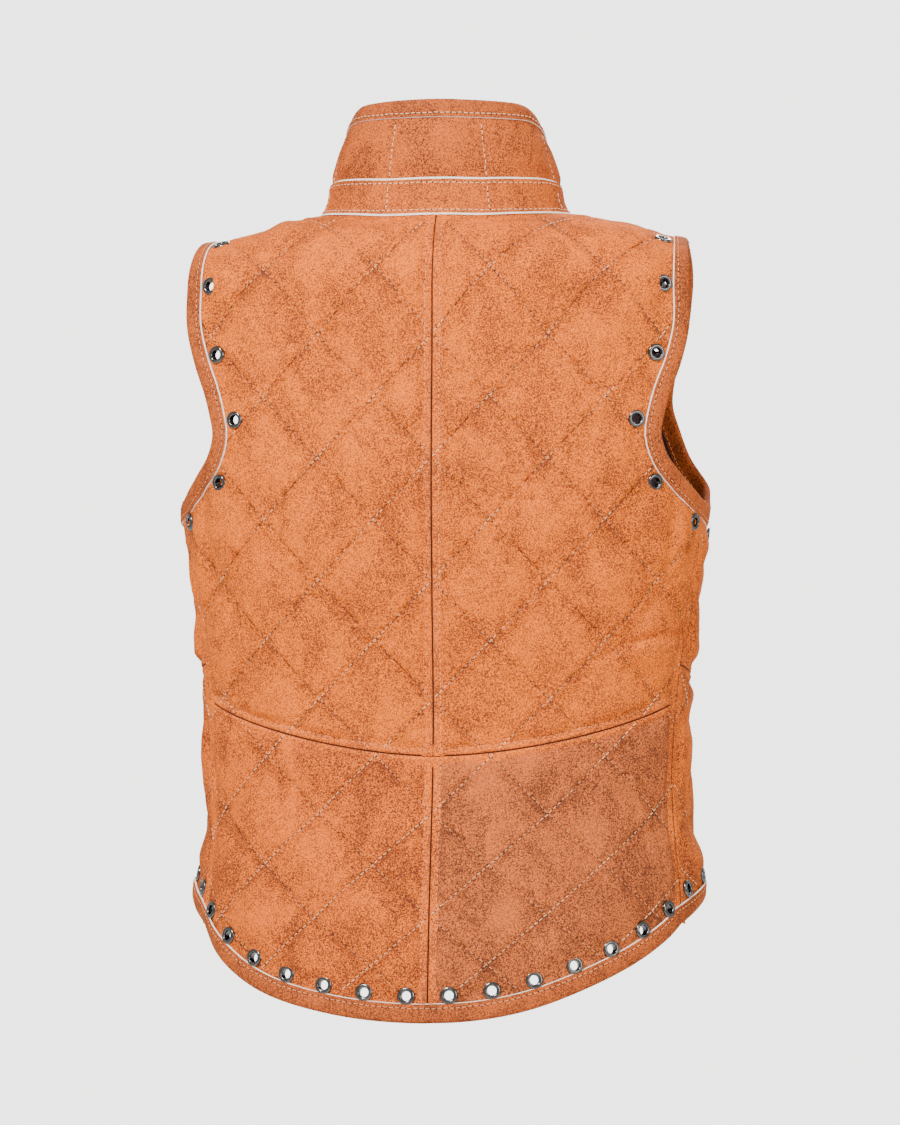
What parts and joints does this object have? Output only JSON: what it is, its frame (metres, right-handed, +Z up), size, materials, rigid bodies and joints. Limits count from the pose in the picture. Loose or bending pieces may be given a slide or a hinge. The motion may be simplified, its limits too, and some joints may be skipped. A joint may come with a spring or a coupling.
{
  "type": "gambeson",
  "caption": "Sleeveless quilted suede gambeson with a standing collar, bound edges and metal eyelets round the armholes and hem.",
  "frame": {"origin": "between the wearer's shoulders, just above the place where the shoulder's ridge meets the neck, where the wearer holds it up", "axes": "+Z up, +Y the way the wearer faces, +X to the wearer's right as the back is seen"},
  "size_m": [0.4178, 0.2858, 0.703],
  "materials": {
    "quilted_suede": "matt napped suede, quilted in diamonds over padding",
    "binding_suede": "matt suede strip with raw cut edges",
    "gunmetal": "dark gunmetal plating, half gloss"
  },
  "bodies": {
    "root": {"back_upper_left": "quilted_suede", "back_upper_right": "quilted_suede", "back_lower_left": "quilted_suede", "back_lower_right": "quilted_suede", "front_upper_left": "quilted_suede", "front_upper_right": "quilted_suede", "front_lower_left": "quilted_suede", "front_lower_right": "quilted_suede", "collar": "quilted_suede", "neck_band": "binding_suede", "armhole_binding_left": "binding_suede", "armhole_binding_right": "binding_suede", "hem_binding": "binding_suede", "front_binding_left": "binding_suede", "front_binding_right": "binding_suede", "collar_binding": "binding_suede", "armhole_eyelet_right_01": "gunmetal", "armhole_eyelet_right_02": "gunmetal", "armhole_eyelet_right_03": "gunmetal", "armhole_eyelet_right_04": "gunmetal", "armhole_eyelet_right_05": "gunmetal", "armhole_eyelet_right_06": "gunmetal", "armhole_eyelet_right_07": "gunmetal", "armhole_eyelet_right_08": "gunmetal", "armhole_eyelet_right_09": "gunmetal", "armhole_eyelet_right_10": "gunmetal", "armhole_eyelet_right_11": "gunmetal", "armhole_eyelet_right_12": "gunmetal", "armhole_eyelet_right_13": "gunmetal", "armhole_eyelet_left_01": "gunmetal", "armhole_eyelet_left_02": "gunmetal", "armhole_eyelet_left_03": "gunmetal", "armhole_eyelet_left_04": "gunmetal", "armhole_eyelet_left_05": "gunmetal", "armhole_eyelet_left_06": "gunmetal", "armhole_eyelet_left_07": "gunmetal", "armhole_eyelet_left_08": "gunmetal", "armhole_eyelet_left_09": "gunmetal", "armhole_eyelet_left_10": "gunmetal", "armhole_eyelet_left_11": "gunmetal", "armhole_eyelet_left_12": "gunmetal", "armhole_eyelet_left_13": "gunmetal", "hem_eyelet_right_01": "gunmetal", "hem_eyelet_right_02": "gunmetal", "hem_eyelet_right_03": "gunmetal", "hem_eyelet_right_04": "gunmetal", "hem_eyelet_right_05": "gunmetal", "hem_eyelet_right_06": "gunmetal", "hem_eyelet_right_07": "gunmetal", "hem_eyelet_left_01": "gunmetal", "hem_eyelet_left_02": "gunmetal", "hem_eyelet_left_03": "gunmetal", "hem_eyelet_left_04": "gunmetal", "hem_eyelet_left_05": "gunmetal", "hem_eyelet_left_06": "gunmetal", "hem_eyelet_left_07": "gunmetal"}
  },
  "joints": []
}
